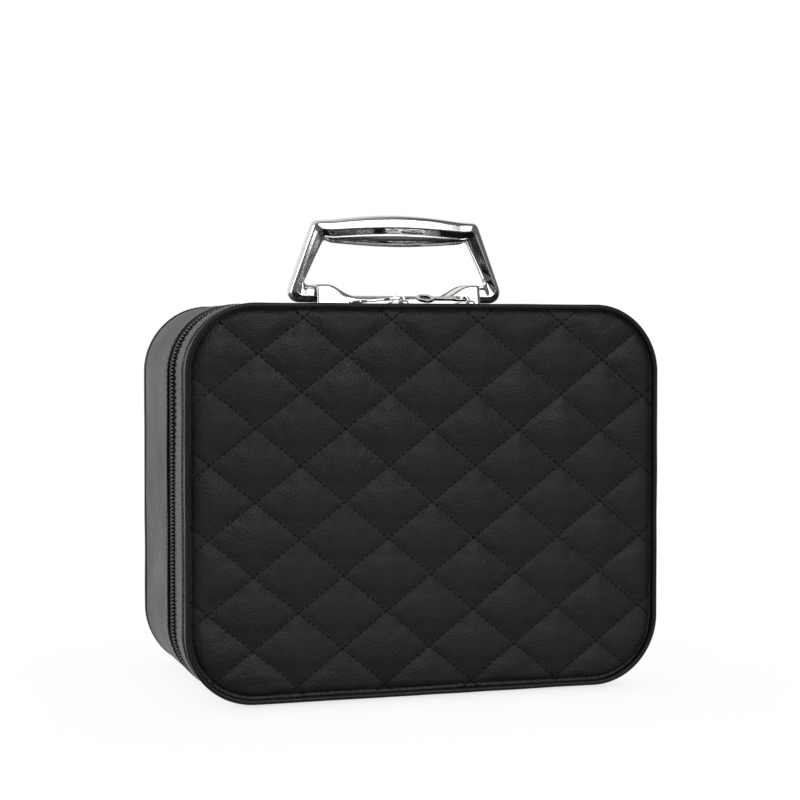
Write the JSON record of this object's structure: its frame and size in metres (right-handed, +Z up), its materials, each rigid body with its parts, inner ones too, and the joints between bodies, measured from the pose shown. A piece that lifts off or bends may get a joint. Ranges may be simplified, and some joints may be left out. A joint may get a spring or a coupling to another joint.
{
  "type": "jewellery case",
  "caption": "Zip-round hard jewellery case with a quilted lid, a folding carrying handle, two zip sliders and a lined, divided inside.",
  "frame": {"origin": "middle of the footprint, on the surface that the case stands on", "axes": "+X along the case's width, +Y from the quilted front to the back, +Z up"},
  "size_m": [0.26, 0.1218, 0.2551],
  "materials": {
    "black_leather": "fine pebble grain, soft sheen",
    "quilted_leather": "diamond quilted over foam, fine pebble grain, soft sheen",
    "fibre_board": "plain fibre board, hidden",
    "velvet_lining": "short velvet pile",
    "velvet_insert": "short velvet pile over foam",
    "zip_tape": "herringbone woven tape",
    "zip_coil": "nylon coil",
    "chrome": "polished",
    "plated_steel": "zinc plated",
    "mirror_glass": "silvered",
    "frame_plastic": "moulded, semi gloss"
  },
  "bodies": {
    "case_body": {"body_band": "black_leather", "body_board": "fibre_board", "body_lining": "velvet_lining", "back_board": "fibre_board", "back_panel": "black_leather", "back_piping": "black_leather", "body_zip_tape": "zip_tape", "body_zip_chain": "zip_coil", "body_hinge_leaf": "black_leather", "zip_end_tab_left": "black_leather", "zip_end_tab_right": "black_leather", "handle_base_plate": "chrome", "handle_pin_left": "plated_steel", "handle_pin_right": "plated_steel", "handle_backing_strip": "plated_steel", "handle_screw_left": "plated_steel", "handle_screw_right": "plated_steel", "divider_left": "velvet_insert", "divider_right": "velvet_insert", "shelf_left": "velvet_insert", "shelf_middle": "velvet_insert", "shelf_right_lower": "velvet_insert", "shelf_right_upper": "velvet_insert", "ring_cushion": "velvet_insert"},
    "lid": {"lid_band": "black_leather", "lid_board": "fibre_board", "lid_lining": "velvet_lining", "front_board": "fibre_board", "quilted_panel": "quilted_leather", "front_piping": "black_leather", "lid_zip_tape": "zip_tape", "lid_zip_chain": "zip_coil", "lid_hinge_leaf": "black_leather", "mirror_frame": "frame_plastic", "mirror": "mirror_glass"},
    "handle": {"handle": "chrome"},
    "left_slider": {"left_slider": "chrome"},
    "left_pull": {"left_pull": "chrome"},
    "right_slider": {"right_slider": "chrome"},
    "right_pull": {"right_pull": "chrome"}
  },
  "joints": [
    {"name": "lid_hinge", "type": "hinge", "parent": "case_body", "child": "lid", "pos_m": [0, -0.021, 0], "axis": [1, 0, 0], "range_deg": [0, 110]},
    {"name": "handle_pivot", "type": "hinge", "parent": "case_body", "child": "handle", "pos_m": [0, 0.002, 0.2115], "axis": [1, 0, 0], "range_deg": [-87, 45]},
    {"name": "left_slider_travel", "type": "slide", "parent": "case_body", "child": "left_slider", "axis": [-1, 0, 0], "range_m": [0, 0.08]},
    {"name": "right_slider_travel", "type": "slide", "parent": "case_body", "child": "right_slider", "axis": [1, 0, 0], "range_m": [0, 0.052]},
    {"name": "left_pull_pivot", "type": "hinge", "parent": "left_slider", "child": "left_pull", "pos_m": [-0.0052, -0.021, 0.2088], "axis": [0, 1, 0], "range_deg": [0, 150]},
    {"name": "right_pull_pivot", "type": "hinge", "parent": "right_slider", "child": "right_pull", "pos_m": [0.033, -0.021, 0.2088], "axis": [0, 1, 0], "range_deg": [0, 170]}
  ]
}
